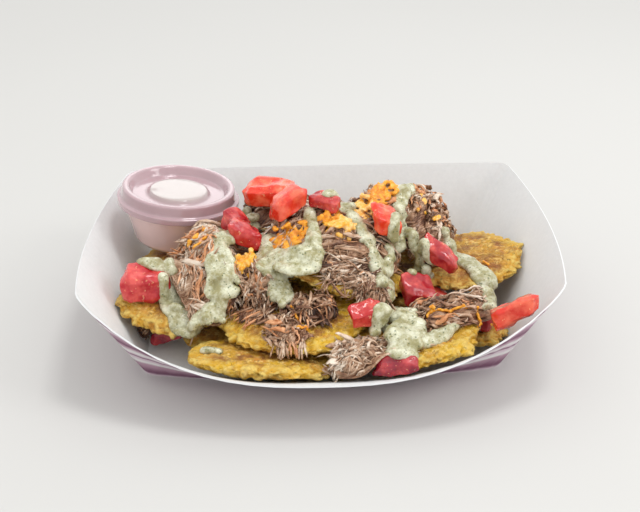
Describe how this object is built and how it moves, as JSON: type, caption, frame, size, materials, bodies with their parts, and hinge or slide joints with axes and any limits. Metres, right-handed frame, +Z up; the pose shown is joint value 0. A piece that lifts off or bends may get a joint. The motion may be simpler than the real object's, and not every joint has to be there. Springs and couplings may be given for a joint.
{
  "type": "tostones",
  "caption": "Fried green plantain slices under shredded meat, diced tomato and herb sauce in an open paper food tray, with a lidded portion cup of dip.",
  "frame": {"origin": "middle of the tray's flat base, on the surface that the tray stands on", "axes": "+Z up; -Y towards the long wall that the food presses open; +X to the right seen from there, so the portion cup is at -X, +Y"},
  "size_m": [0.248, 0.2125, 0.0783],
  "materials": {
    "tray": "coated board, matt white inside, striped outside",
    "toston": "fried, rough, golden with browned edges",
    "meat": "shredded, moist",
    "tomato": "wet, glossy",
    "cup": "clear, thin",
    "lid": "clear, thin",
    "dip": "creamy, smooth"
  },
  "bodies": {
    "root": {"cup_dip": "dip", "cup_lid": "lid", "meat_back": "meat", "meat_centre": "meat", "meat_front": "meat", "meat_front_clump": "meat", "meat_hanging_left": "meat", "meat_hanging_right": "meat", "meat_left": "meat", "meat_low_left": "meat", "meat_low_right": "meat", "meat_mid_left": "meat", "meat_right": "meat", "meat_saddle": "meat", "sauce_cup": "cup", "tomato_01": "tomato", "tomato_02": "tomato", "tomato_03": "tomato", "tomato_04": "tomato", "tomato_05": "tomato", "tomato_06": "tomato", "tomato_07": "tomato", "tomato_08": "tomato", "tomato_09": "tomato", "tomato_10": "tomato", "tomato_11": "tomato", "tomato_12": "tomato", "tomato_13": "tomato", "tomato_14": "tomato", "tomato_15": "tomato", "toston_01": "toston", "toston_02": "toston", "toston_03": "toston", "toston_04": "toston", "toston_05": "toston", "toston_06": "toston", "toston_07": "toston", "toston_08": "toston", "toston_09": "toston", "toston_10": "toston", "toston_11": "toston", "toston_12": "toston", "toston_13": "toston", "toston_14": "toston", "toston_15": "toston", "toston_16": "toston", "toston_17": "toston", "tray": "tray"}
  },
  "joints": []
}
